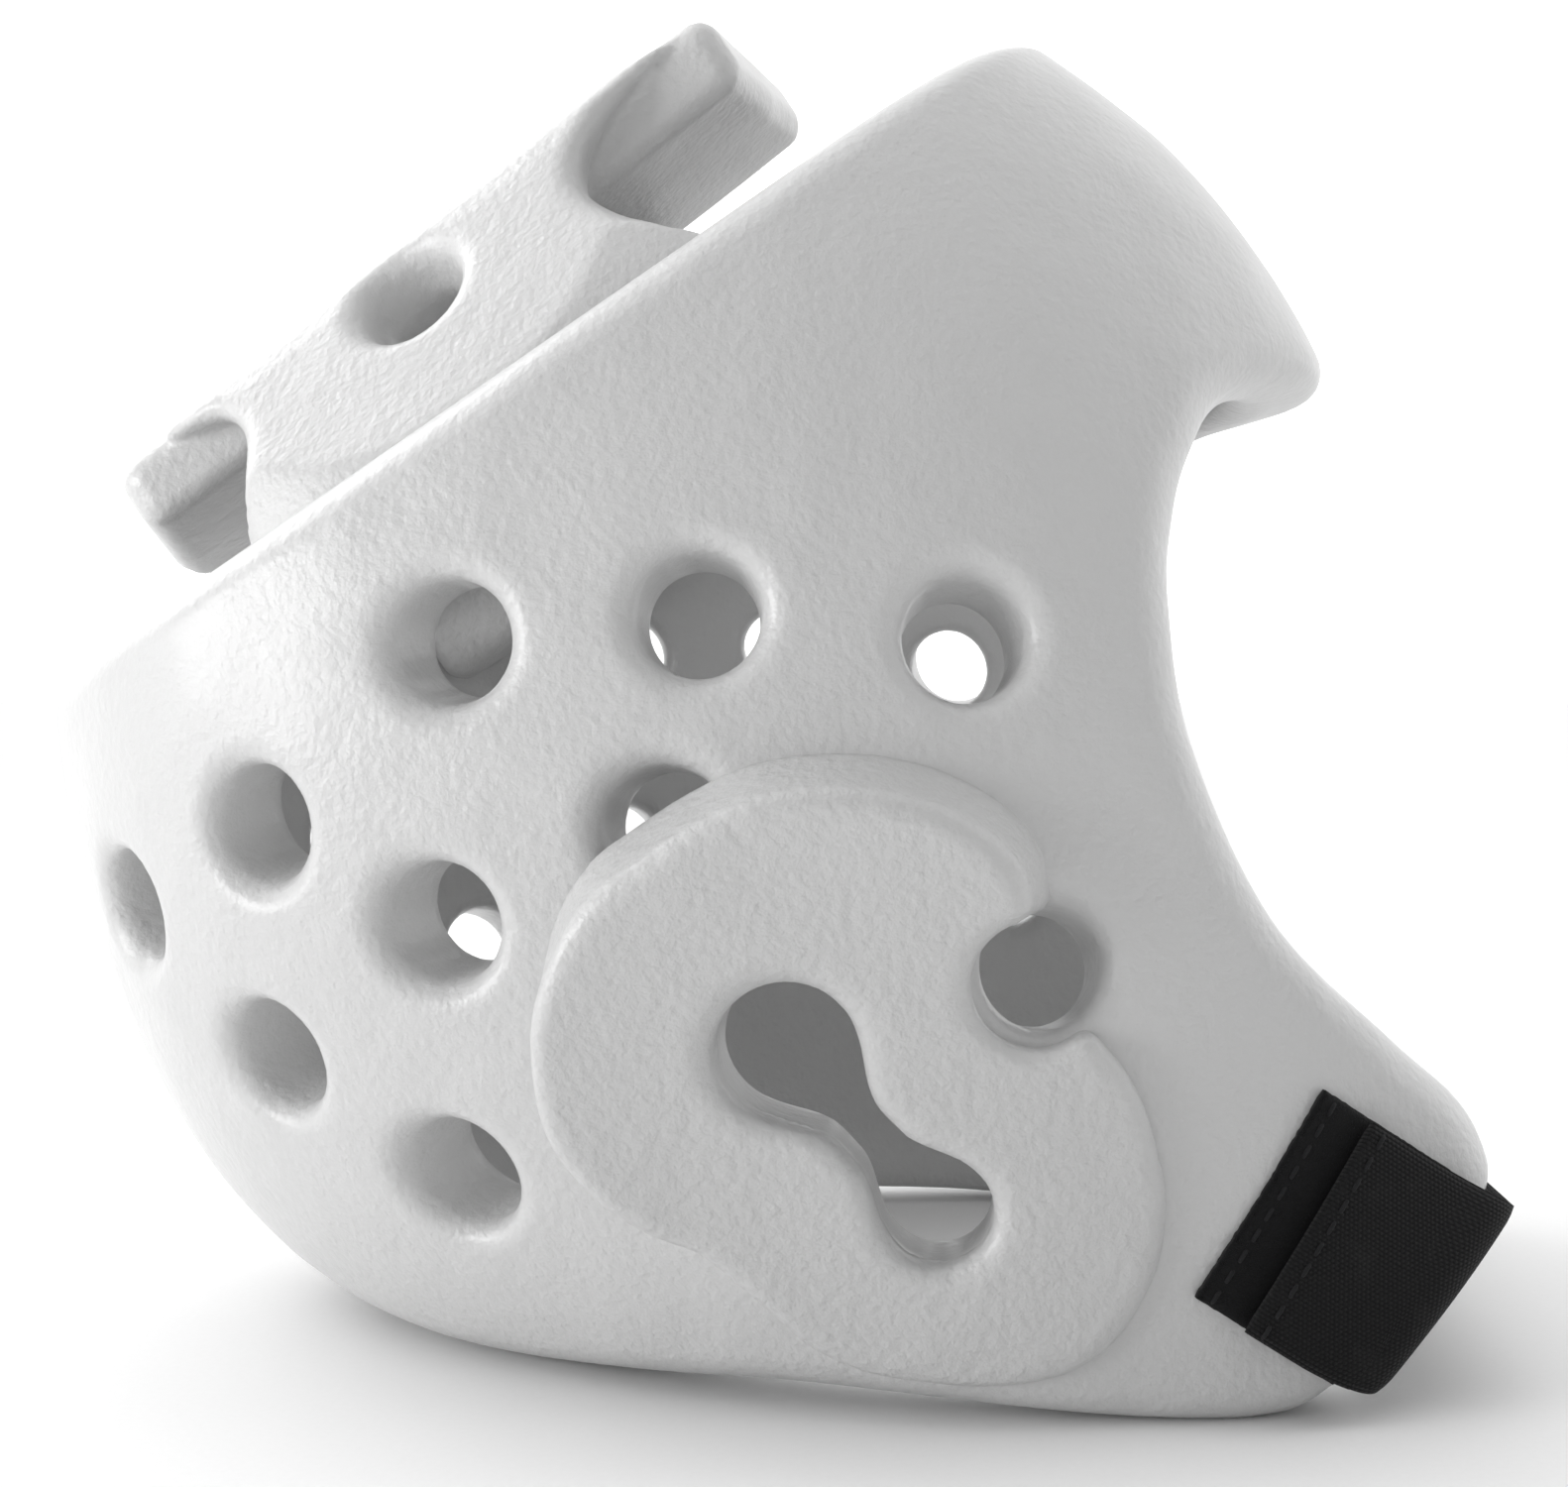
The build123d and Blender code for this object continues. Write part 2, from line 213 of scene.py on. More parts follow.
# Face opening, from the brow round the cheek to the tip of the chin flap
FACE_EDGE = smooth_curve([
    (92, 181), (78, 176.5), (61, 173.5), (47, 168), (39.5, 155), (36.3, 143), (35.5, 130), (38.8, 107.5),
    (52, 79.6), (72, 60.5), (84, 50.5), (89, 43), (90, 36), (84.5, 27), (75, 16), (66, 6.5), (60, 0), (55, -12),
])
face_cut = Chart(np.vstack([FACE_EDGE, (55, -FAR), (FAR, -FAR), (FAR, 181)]), True, STAND_LOW, STAND_HIGH)

# Lower rim: flat feet under the chin flaps and beside the nape, arched between them
RIM_EDGE = smooth_curve([
    (85, 26), (70, 9), (60, 2.2), (50, 0), (38, 0), (24, 0.8), (0, 2.6), (-25, 3.4), (-50, 1.8), (-74, 0),
    (-90, 0), (-110, 2.5), (-135, 10), (-160, 22),
])
rim_cut = Chart(np.vstack([RIM_EDGE, (-FAR, 22), (-FAR, -FAR), (FAR, -FAR), (FAR, 26)]), True,
                STAND_LOW, STAND_HIGH)

PAD_EDGE = smooth_curve([
    (12.3, 83), (8.2, 90.8), (1, 95.8), (-7.5, 98.7), (-17.4, 99.5), (-27.4, 98), (-36, 94), (-43.2, 89.3),
    (-50.6, 84), (-56, 77.5), (-60, 68.5), (-61.4, 61), (-60.8, 51), (-58.3, 43.8), (-52.2, 36), (-45.2, 31),
    (-37.3, 27.6), (-31.8, 23), (-26.3, 17.8), (-20.7, 12.6), (-12.6, 8.6), (-3.6, 7.2), (4.6, 6.8),
    (12.8, 7.6), (20.9, 10.2), (26.6, 14.8), (30.5, 20.8), (33.1, 27.6), (33.9, 36.1), (32.7, 43), (30.5, 50.5),
    (27.1, 57), (22, 62.5), (16, 66), (10, 72),
], closed=True)
pad_chart = Chart(PAD_EDGE, True, (-85, -20), (60, 125), 0.5)

# Middle line of the crown's arch, from one foot to the top, and the openings beside its legs
ARCH = np.array([
    (63, 40), (63, 72), (62.8, 75), (61.9, 78), (60.6, 80.5), (37.9, 108.9), (35.6, 111.2), (32.5, 112.6),
    (29.3, 113), (-20, 113),
])
arch_chart = Chart(ARCH, False, (-10, 30), (110, 140), 0.5)
FRONT_GAP = smooth_curve([
    (12, 50), (12, 79), (4.5, 91), (-0.5, 98), (-3.2, 105), (-2.2, 110.5), (2.5, 115), (11, 119),
    (22, 121.5), (45, 125),
])
front_gap = Chart(np.vstack([FRONT_GAP, (90, 125), (90, 50)]), True, (-180, 30), (100, 150))
REAR_GAP = smooth_curve([
    (-89, 50), (-89, 80), (-84, 86), (-79.5, 97), (-76.5, 105), (-78, 110.5), (-82, 113), (-91.5, 115.5),
    (-99, 117), (-130, 121),
])
rear_gap = Chart(np.vstack([REAR_GAP, (-170, 121), (-170, 50)]), True, (-180, 30), (100, 150))


def stand(x, z):
    """Place in the side view as the guard stands, from a place in the head frame."""
    return x * math.cos(TILT) - z * math.sin(TILT), HEAD_Z + x * math.sin(TILT) + z * math.cos(TILT)


def outer(x, y, z):
    """Distance outside the shell's outer surface."""
    z = np.clip(z, -140, 105)
    front, rear, width = (np.polyval(fit, z) for fit in LEVEL_FIT)
    front_slope, rear_slope, width_slope = (np.polyval(fit, z) for fit in LEVEL_SLOPE)
    dx = x - WIDEST_X
    ahead = dx > 0
    reach = np.where(ahead, front - WIDEST_X, WIDEST_X - rear)
    reach_slope = np.where(ahead, front_slope, -rear_slope)
    size = np.sqrt((dx / reach) ** 2 + (y / width) ** 2) + 1e-6
    steep = np.sqrt((dx / reach ** 2) ** 2 + (y / width ** 2) ** 2) / size
    rise = (dx ** 2 / reach ** 3 * reach_slope + y ** 2 / width ** 3 * width_slope) / size
    return (size - 1) / np.sqrt(steep ** 2 + rise ** 2 + 1e-9)


def waves(x, y, z, kind):
    """Smooth random relief of a given height, cell size and seed."""
    height, cell, seed = kind
    table = np.random.default_rng(seed).uniform(-1, 1, (32, 32, 32))
    value = np.zeros(np.broadcast(x, y, z).shape)
    parts = []
    for axis in (x, y, z):
        place = axis / cell + 64
        whole = np.floor(place).astype(int)
        share = place - whole
        parts.append((whole, share * share * (3 - 2 * share)))
    (i, u), (j, v), (k, w) = parts
    for a in (0, 1):
        for b in (0, 1):
            for c in (0, 1):
                weight = (u if a else 1 - u) * (v if b else 1 - v) * (w if c else 1 - w)
                value += weight * table[(i + a) % 32, (j + b) % 32, (k + c) % 32]
    return height * value


def slot_distance(u, v):
    """Flat distance from the ear slot: two lobes and a neck, blended."""
    (u0, v0, r0), (u1, v1, r1) = SLOT_LOBES
    du, dv = u1 - u0, v1 - v0
    along = np.clip(((u - u0) * du + (v - v0) * dv) / (du * du + dv * dv), 0, 1)
    neck = np.hypot(u - u0 - along * du, v - v0 - along * dv) - SLOT_NECK
    lobes = np.minimum(np.hypot(u - u0, v - v0) - r0, np.hypot(u - u1, v - v1) - r1)
    return soft_min(lobes, neck, SLOT_BLEND)


def wall(x, y, z):
    """The shell before its vents and slots."""
    skin = outer(x, y, z) - waves(x, y, z, SHELL_WAVES) - waves(x, y, z, SHELL_RIPPLES)
    body = np.maximum(skin, -skin - FOAM)
    rim = z - (RIM_MIDDLE - (RIM_MIDDLE - RIM_SIDE) * (y / RIM_SIDE_Y) ** 2)
    body = round_max(body, rim / RIM_STEEP, RIM_ROUND)
    u, v = stand(x, z)
    dip = BROW_DIP * np.exp(-(y / BROW_WIDTH) ** 2)
    body = round_max(body, -face_cut(u, v + dip), EDGE_ROUND)
    return round_max(body, -rim_cut(u, v), EDGE_ROUND)


def inner_wall(x, y, z):
    """The shell above its openings, as the crown's feet meet it."""
    skin = outer(x, y, z)
    return np.maximum(skin, -skin - FOAM)


def cone_distance(x, y, z, mouth, way, mouth_radius, throat_radius, depth):
    """Distance outside a conical bore that narrows from its mouth over a depth."""
    dx, dy, dz = x - mouth[0], y - mouth[1], z - mouth[2]
    along = dx * way[0] + dy * way[1] + dz * way[2]
    off = np.sqrt(np.maximum(dx ** 2 + dy ** 2 + dz ** 2 - along ** 2, 0))
    return off - (mouth_radius + (mouth_radius - throat_radius) / depth * along)


def vent_axis(x, z):
    """Mouth and outward direction of a vent in the side wall, on the wearer's right."""
    front, rear, width = (np.polyval(fit, z) for fit in LEVEL_FIT)
    reach = front - WIDEST_X if x > WIDEST_X else WIDEST_X - rear
    y = width * math.sqrt(1 - ((x - WIDEST_X) / reach) ** 2)
    way = np.array([(x - WIDEST_X) / reach ** 2, -y / width ** 2, 0])
    way = way / np.linalg.norm(way) + (VENT_TURN if x < VENT_TURN_FROM else 0, 0, VENT_LIFT)
    return np.array([x, -y, z]), way / np.linalg.norm(way)


def near(x, y, z, place, reach):
    """Which points lie within reach of a place."""
    return (x - place[0]) ** 2 + (y - place[1]) ** 2 + (z - place[2]) ** 2 < reach ** 2


def shell_field(x, y, z):
    """The shell with its vents and ear slot, on the wearer's right half."""
    body = wall(x, y, z)
    for place in VENTS:
        mouth, way = vent_axis(*place)
        by = near(x, y, z, mouth, VENT_NEAR)
        bore = cone_distance(x[by], y[by], z[by], mouth, way, VENT_MOUTH, VENT_THROAT, FOAM)
        body[by] = round_max(body[by], -bore, VENT_ROUND)
    u, v = stand(x, z)
    by = (y < SLOT_SIDE) & (abs(u - SLOT_MIDDLE[0]) < SLOT_NEAR) & (abs(v - SLOT_MIDDLE[1]) < SLOT_NEAR)
    body[by] = round_max(body[by], -slot_distance(u[by], v[by]), SLOT_ROUND)
    return body


def pad_field(x, y, z):
    """The right ear pad: a kidney whose leaning face dies into the shell at its lower front."""
    u, v = stand(x, z)
    skin = outer(x, y, z)
    lean = math.sqrt(1 + PAD_LEAN_X ** 2 + PAD_LEAN_Z ** 2)
    face = (-y - (PAD_FACE + PAD_LEAN_X * u + PAD_LEAN_Z * v)) / lean
    face = soft_min(face, skin - PAD_LEAST, PAD_BLEND) - waves(x, y, z, PAD_WAVES)
    draft = PAD_DRAFT * np.clip((v - PAD_DRAFT_FROM) / PAD_DRAFT_OVER, 0, 1) * np.clip(-face, 0, PAD_DRAFT_DEEP)
    notch = PAD_NOTCH[2] - np.hypot(u - PAD_NOTCH[0], v - PAD_NOTCH[1])
    edge = round_max(pad_chart(u, v) - draft, notch, PAD_NOTCH_ROUND)
    body = round_max(edge, face, PAD_ROUND)
    body = round_max(body, -slot_distance(u, v), SLOT_ROUND)
    return np.maximum(body, -skin - PAD_SINK)


def crown_field(x, y, z):
    """The crown pad: a flat plate on two sloping legs, open before and behind the legs."""
    turned = np.clip((z - CROWN_TURN_FROM) / CROWN_TURN_OVER, 0, 1)
    level = z + (CROWN_SLOPE * (CROWN_FRONT - x) - CROWN_RISE) * turned
    arch = arch_chart(np.abs(y), level) - CROWN_FOAM / 2 - waves(x, y, z, CROWN_WAVES)
    skew = np.clip(y, -PLATE_HALF, PLATE_HALF)
    front = x - CROWN_FRONT - CROWN_FRONT_SKEW * skew
    rear = CROWN_REAR + CROWN_REAR_SKEW * skew - x
    body = round_max(arch, np.maximum(front, rear), CROWN_ROUND)
    beside = PLATE_HALF - np.abs(y)
    far = CROWN_FAR_LEG * np.clip(y / PLATE_HALF, 0, 1)
    body = round_max(body, -np.maximum(front_gap(x - far, z), beside), CROWN_ROUND)
    body = round_max(body, -np.maximum(rear_gap(x, z), beside), CROWN_ROUND)
    body = round_max(body, CROWN_FOOT - z, CROWN_ROUND)
    bore = cone_distance(x, -np.abs(y), z, CROWN_VENT, CROWN_VENT_WAY, VENT_MOUTH, VENT_THROAT, CROWN_FOAM)
    body = round_max(body, -bore, VENT_ROUND)
    return np.maximum(body, -inner_wall(x, y, z))


# ---------------------------------------------------------------- meshing of a field
CORNERS = np.array([(a, b, c) for a in (0, 1) for b in (0, 1) for c in (0, 1)])
CELL_EDGES = [(a, b) for a in range(8) for b in range(a + 1, 8) if abs(CORNERS[a] - CORNERS[b]).sum() == 1]


SLAB = 12


def sample_field(field, axes):
    """Values of the field on a grid, slab by slab."""
    values = np.empty([len(axis) for axis in axes])
    for k in range(0, len(axes[0]), SLAB):
        x, y, z = np.meshgrid(axes[0][k:k + SLAB], axes[1], axes[2], indexing="ij")
        values[k:k + SLAB] = field(x, y, z)
    return values


def surface(values, axes):
    """Quads over the zero level of a sampled field: one point in each cell that it crosses."""
    inside = values < 0
    count = np.zeros(tuple(n - 1 for n in values.shape), int)
    for a, b, c in CORNERS:
        count += inside[a:a + count.shape[0], b:b + count.shape[1], c:c + count.shape[2]]
    crossed = (count > 0) & (count < 8)
    cells = np.argwhere(crossed)
    number = np.full(count.shape, -1)
    number[crossed] = np.arange(len(cells))
    corner_values = np.stack([values[tuple((cells + c).T)] for c in CORNERS], axis=1)
    total, hits = np.zeros((len(cells), 3)), np.zeros((len(cells), 1))
    for a, b in CELL_EDGES:
        va, vb = corner_values[:, a], corner_values[:, b]
        hit = (va < 0) != (vb < 0)
        share = np.where(hit, va / np.where(hit, va - vb, 1), 0)[:, None]
        total += np.where(hit[:, None], CORNERS[a] + share * (CORNERS[b] - CORNERS[a]), 0)
        hits += hit[:, None]
    low = np.array([axis[0] for axis in axes])
    step = np.array([axis[1] - axis[0] for axis in axes])
    points = low + (cells + total / hits) * step
    quads = []
    for k in range(3):
        ahead = np.eye(3, dtype=int)[k]
        b, c = np.eye(3, dtype=int)[(k + 1) % 3], np.eye(3, dtype=int)[(k + 2) % 3]
        size = [n - d for n, d in zip(values.shape, ahead)]
        first = inside[:size[0], :size[1], :size[2]]
        second = inside[ahead[0]:, ahead[1]:, ahead[2]:]
        for flag, order in ((first & ~second, (0, 1, 2, 3)), (~first & second, (3, 2, 1, 0))):
            at = np.argwhere(flag)
            at = at[((at - b - c) >= 0).all(axis=1) & (at < np.array(count.shape)).all(axis=1)]
            ring = np.stack([number[tuple((at - b - c).T)], number[tuple((at - c).T)],
                             number[tuple(at.T)], number[tuple((at - b).T)]], axis=1)
            quads.append(ring[(ring >= 0).all(axis=1)][:, order])
    return points, np.vstack(quads)


def settle(points, field, rounds=2):
    """Points moved onto the zero level of the field along its slope."""
    reach = 0.4
    for _ in range(rounds):
        x, y, z = points.T.copy()
        value = field(x, y, z)
        slope = np.stack([
            field(x + reach, y, z) - field(x - reach, y, z),
            field(x, y + reach, z) - field(x, y - reach, z),
            field(x, y, z + reach) - field(x, y, z - reach),
        ], axis=1) / (2 * reach)
        step = value[:, None] * slope / np.maximum((slope ** 2).sum(axis=1), 0.2)[:, None]
        points = points - np.clip(step, -0.5 * VOXEL, 0.5 * VOXEL)
    return points


def to_row(points):
    """Points in the row frame, in metres, from points in the head frame, in millimetres."""
    x, y, z = points.T
    u, v = stand(x, z)
    return np.stack([u + HEAD_X, y, v], axis=1) * MM


def make_mesh(name, points, faces):
    """A smooth-shaded object from points in metres and faces."""
    mesh = bpy.data.meshes.new(name)
    mesh.from_pydata([tuple(p) for p in points], [], [tuple(int(i) for i in f) for f in faces])
    mesh.validate()
    mesh.update()
    piece = bpy.data.objects.new(name, mesh)
    bpy.context.scene.collection.objects.link(piece)
    mesh.shade_smooth()
    return piece


def foam_piece(name, field, low, high, mirrored):
    """A smooth mesh of a foam part, from its field over a box in the head frame."""
    if mirrored:
        high = (high[0], 0, high[2])
    axes = [np.arange(math.floor((a - b) / VOXEL), 1) * VOXEL + b for a, b in zip(low, high)]
    values = sample_field(field, axes)
    if mirrored:
        values = np.concatenate([values, values[:, -2::-1]], axis=1)
        axes[1] = np.concatenate([axes[1], -axes[1][-2::-1]])
        inner_field = field

        def field(x, y, z):
            return inner_field(x, -np.abs(y), z)
    points, quads = surface(values, axes)
    return make_mesh(name, to_row(settle(points, field)), quads)


def mirrored_piece(name, piece):
    """The same piece on the other side of the middle plane."""
    points = np.empty(len(piece.data.vertices) * 3)
    piece.data.vertices.foreach_get("co", points)
    faces = [tuple(face.vertices)[::-1] for face in piece.data.polygons]
    return make_mesh(name, points.reshape(-1, 3) * (1, -1, 1), faces)


# ---------------------------------------------------------------- chin strap
STRAP_AT = (48.8, 36.6)
STRAP_HALF = 18.5
PATCH_HALF = 18.5
PATCH_LENGTH = 26.0
LOOP = 1.4
HOOK_IN, HOOK_OUT = 1.8, 2.8
WEB = 1.8
TAB_START = 9.0
FOLD_AT = 28.0
WEB_REACH = 36.5
WEB_WRAP = 6.0
WEB_LIFT = 2.2
WEB_NARROW = 0.08
WEB_SKEW = 0.16
LIFT_FROM, LIFT_OVER = 10.0, 20.0
FOLD_EASE = 3.0
STRAP_COLUMNS = 25
EDGE_COLUMNS = 2
EDGE_LEAST = 0.15
STITCHES = 10
STITCH_INSET = 2.5
THREAD_RADIUS = 0.34
THREAD_HALF_RUN = 0.36
THREAD_SINK = 0.45
THREAD_STRAY = 0.06
THREAD_RISE = 0.12
HOOK_PITCH = 1.3
HOOK_INSET = 0.8
HOOK_END_GAP = 0.5
HOOK_MARGIN = 1
HOOK_STEM = 0.45
HOOK_STEPS = ((0.0, 0.28, 0.0), (0.25, 0.2, 0.0), (0.42, 0.26, 0.12))
PILE_FUZZ = 0.06
PILE_INSET = 0.3
PILE_COUNT = 1500
PILE_LENGTH = 0.55
PILE_RADIUS = 0.045
PILE_SEED = 5
SLAB_SEED = 11


def on_flap(along, across, off):
    """Points off the right chin flap, in millimetres in the row frame, placed along and across the strap."""
    along, across, off = np.broadcast_arrays(*(np.asarray(v, float) for v in (along, across, off)))
    u = STRAP_AT[0] + along * math.cos(TILT) + across * math.sin(TILT)
    v = STRAP_AT[1] - along * math.sin(TILT) + across * math.cos(TILT)
    x = u * math.cos(TILT) + (v - HEAD_Z) * math.sin(TILT)
    z = -u * math.sin(TILT) + (v - HEAD_Z) * math.cos(TILT)
    front, rear, width = (np.polyval(fit, z) for fit in LEVEL_FIT)
    reach = np.where(x > WIDEST_X, front - WIDEST_X, WIDEST_X - rear) + off
    y = -(width + off) * np.sqrt(np.maximum(1 - ((x - WIDEST_X) / reach) ** 2, 0.01))
    return np.stack([u + HEAD_X, y, v], axis=-1)


def strap_line(across, off):
    """Centre line of the strap at a place across it, from its free end to the middle of the chin."""
    tab = on_flap(np.linspace(TAB_START, FOLD_AT, 24), across, off)
    slope = (tab[-1] - tab[-2]) / np.linalg.norm(tab[-1] - tab[-2])
    forward = np.array([math.cos(TILT), 0, -math.sin(TILT)])
    reach = WEB_REACH - FOLD_AT + WEB_SKEW * across
    corner = tab[-1] + slope * reach / (slope @ forward)
    start = corner - slope * WEB_WRAP
    end = corner + (0, WEB_WRAP, 0)
    t = np.linspace(0, 1, 17)[1:, None]
    bend = (1 - t) ** 2 * start + 2 * t * (1 - t) * corner + t ** 2 * end
    across_way = np.linspace(end[1], 0, 40)[1:, None]
    web = np.hstack([np.full_like(across_way, end[0]), across_way, np.full_like(across_way, end[2])])
    line = np.vstack([tab, start, bend, web])
    run = np.concatenate([[0], np.cumsum(np.linalg.norm(np.diff(line, axis=0), axis=1))])
    lift = (WEB_LIFT - WEB_NARROW * across) * np.clip((run - LIFT_FROM) / LIFT_OVER, 0, 1) ** 2
    return line + lift[:, None] * np.array([math.sin(TILT), 0, math.cos(TILT)])


def ribbon(name, grid, thickness):
    """A band of a given thickness about a grid, with rounded edges and its length and width as UVs."""
    rows, columns = grid.shape[:2]
    along = np.gradient(grid, axis=0)
    across = np.gradient(grid, axis=1)
    normal = np.cross(along, across)
    normal /= np.linalg.norm(normal, axis=2)[:, :, None]
    edge = np.minimum(np.arange(columns), np.arange(columns)[::-1])
    half = thickness / 2 * np.sqrt(1 - (1 - np.clip(edge / EDGE_COLUMNS, EDGE_LEAST, 1)) ** 2)
    loop = np.concatenate([grid + normal * half[:, None], (grid - normal * half[:, None])[:, ::-1]], axis=1)
    count = 2 * columns
    points = loop.reshape(-1, 3)
    quads = []
    for i in range(rows - 1):
        for j in range(count):
            k = (j + 1) % count
            quads.append((i * count + j, (i + 1) * count + j, (i + 1) * count + k, i * count + k))
    for i, turn in ((0, 1), (rows - 1, -1)):
        for j in range(columns - 1):
            row = i * count
            quads.append((row + j, row + j + 1, row + count - 2 - j, row + count - 1 - j)[::turn])
    piece = make_mesh(name, points * MM, quads)
    step_along = np.linalg.norm(np.diff(grid[:, columns // 2], axis=0), axis=1)
    run = np.concatenate([[0], np.cumsum(step_along)])
    span = np.linalg.norm(grid[0, -1] - grid[0, 0])
    place = np.concatenate([np.linspace(0, span, columns), np.linspace(span, 0, columns)])
    uv = np.stack(np.broadcast_arrays(run[:, None], place[None, :]), axis=-1).reshape(-1, 2)
    layer = piece.data.uv_layers.new(name="Weave")
    corners = np.empty(len(piece.data.loops), int)
    piece.data.loops.foreach_get("vertex_index", corners)
    layer.data.foreach_set("uv", uv[corners].ravel())
    return piece


def flap_slab(name, start, inner, outer_off, fuzz=0.0):
    """A patch that lies on the right chin flap between two distances from it."""
    u = np.linspace(start, PATCH_LENGTH, 40)
    w = np.linspace(-PATCH_HALF, PATCH_HALF, 56)
    middle = on_flap(u[:, None], w[None, :], (inner + outer_off) / 2)
    middle += fuzz * np.random.default_rng(SLAB_SEED).uniform(-1, 1, middle.shape)
    return ribbon(name, middle, outer_off - inner)


def thread_row(name, along, off):
    """A row of stitches across the strap, each a rounded length of thread that dips in at its ends."""
    points, faces = [], []
    pitch = 2 * PATCH_HALF / STITCHES
    turns, rings = 10, 9
    for k in range(STITCHES):
        at = -PATCH_HALF + pitch * (k + 0.5)
        for i in range(rings + 1):
            t = -1 + 2 * i / rings
            across = at + t * THREAD_HALF_RUN * pitch
            sink = THREAD_SINK * t ** 4
            centre = on_flap(along + THREAD_STRAY * math.sin(7.0 * k), across, off + THREAD_RISE - sink)
            radius = THREAD_RADIUS * math.sqrt(max(1 - 0.8 * t ** 6, 0))
            for j in range(turns):
                angle = 2 * math.pi * j / turns
                level = math.cos(angle)
                way = np.array([level * math.cos(TILT), -math.sin(angle), -level * math.sin(TILT)])
                points.append(centre + radius * way)
        base = k * (rings + 1) * turns
        for i in range(rings):
            for j in range(turns):
                a, b = base + i * turns + j, base + i * turns + (j + 1) % turns
                faces.append((a, b, b + turns, a + turns))
        faces.append(tuple(base + j for j in range(turns))[::-1])
        faces.append(tuple(base + rings * turns + j for j in range(turns)))
    return make_mesh(name, np.array(points) * MM, faces)


def fibres(name, roots, ways, length, radius, seed):
    """Short curled fibres that stand out from given roots."""
    rng = np.random.default_rng(seed)
    points, faces = [], []
    for root, way in zip(roots, ways):
        side = np.cross(way, rng.normal(size=3))
        side /= np.linalg.norm(side)
        up = np.cross(way, side)
        reach = length * rng.uniform(0.5, 1.2)
        curl = rng.uniform(0.4, 1.1)
        base = len(points)
        for t in (0, 0.35, 0.7, 1.0):
            middle = root + way * reach * math.sin(1.3 * t) + side * reach * curl * t * t
            for angle in (0, 2.094, 4.189):
                points.append(middle + radius * (1 - 0.5 * t) * (math.cos(angle) * side + math.sin(angle) * up))
        for i in range(3):
            for j in range(3):
                a, b = base + 3 * i + j, base + 3 * i + (j + 1) % 3
                faces.append((a, b, b + 3, a + 3))
    return make_mesh(name, np.array(points) * MM, faces)


def patch_fibres(name, off):
    """Loop pile scattered over the loop patch and thicker along its rear edge."""
    rng = np.random.default_rng(PILE_SEED)
    half = PATCH_HALF - PILE_INSET
    u = rng.uniform(PILE_INSET, PATCH_LENGTH, PILE_COUNT)
    w = rng.uniform(-half, half, PILE_COUNT)
    edge = PILE_COUNT // 3
    u[:edge] = PILE_INSET + 0.2 + rng.uniform(-0.1, 0.5, edge)
    roots = on_flap(u, w, off - 0.15)
    lean_u = rng.normal(0, 0.5, PILE_COUNT)
    lean_w = rng.normal(0, 0.5, PILE_COUNT)
    ways = np.stack([lean_u, -np.ones(PILE_COUNT), lean_w], axis=1)
    ways[:edge, 0] -= 1.0
    ways /= np.linalg.norm(ways, axis=1)[:, None]
    return fibres(name, roots, ways, PILE_LENGTH, PILE_RADIUS, PILE_SEED)


def hooks(name, start, off):
    """Moulded hooks that stand in rows on the inner face of the hook patch and lean by turns."""
    points, faces = [], []
    for i, u in enumerate(np.arange(start + HOOK_INSET, PATCH_LENGTH - HOOK_END_GAP, HOOK_PITCH)):
        turn = 1 if i % 2 else -1
        for w in np.arange(-PATCH_HALF + HOOK_INSET, PATCH_HALF - HOOK_END_GAP, HOOK_PITCH):
            base = len(points)
            for lift, size, lean in HOOK_STEPS:
                for du, dw in ((-size, -size), (size, -size), (size, size), (-size, size)):
                    points.append(on_flap(u + du + turn * lean, w + dw, off - lift))
            for k in (0, 4):
                for j in range(4):
                    a, b = base + k + j, base + k + (j + 1) % 4
                    faces.append((a, b, b + 4, a + 4))
            faces.append(tuple(base + 8 + j for j in range(4)))
    return make_mesh(name, np.array(points) * MM, faces)


# ---------------------------------------------------------------- materials
def new_material(name):
    """An empty node material and its node tree's nodes, links and shader."""
    material = bpy.data.materials.new(name)
    material.use_nodes = True
    tree = material.node_tree
    return material, tree.nodes, tree.links, tree.nodes["Principled BSDF"]


def add_noise(nodes, links, source, scale, detail=3.0, rough=0.5):
    """Noise texture read in object space."""
    node = nodes.new("ShaderNodeTexNoise")
    node.inputs["Scale"].default_value = scale
    node.inputs["Detail"].default_value = detail
    node.inputs["Roughness"].default_value = rough
    links.new(source, node.inputs["Vector"])
    return node.outputs["Fac"]


def add_range(nodes, links, source, low, high, to_low, to_high):
    """The source stretched from one range to another."""
    node = nodes.new("ShaderNodeMapRange")
    for key, value in (("From Min", low), ("From Max", high), ("To Min", to_low), ("To Max", to_high)):
        node.inputs[key].default_value = value
    links.new(source, node.inputs["Value"])
    return node.outputs["Result"]


def add_mix(nodes, links, factor, first, second):
    """Two colours mixed by a factor."""
    node = nodes.new("ShaderNodeMix")
    node.data_type = "RGBA"
    for socket, value in ((node.inputs[6], first), (node.inputs[7], second)):
        if isinstance(value, tuple):
            socket.default_value = (*value, 1)
        else:
            links.new(value, socket)
    links.new(factor, node.inputs[0])
    return node.outputs[2]


def add_math(nodes, links, operation, first, second=None):
    """One arithmetic step."""
    node = nodes.new("ShaderNodeMath")
    node.operation = operation
    for socket, value in zip(node.inputs, (first, second)):
        if isinstance(value, (int, float)):
            socket.default_value = value
        elif value is not None:
            links.new(value, socket)
    return node.outputs[0]


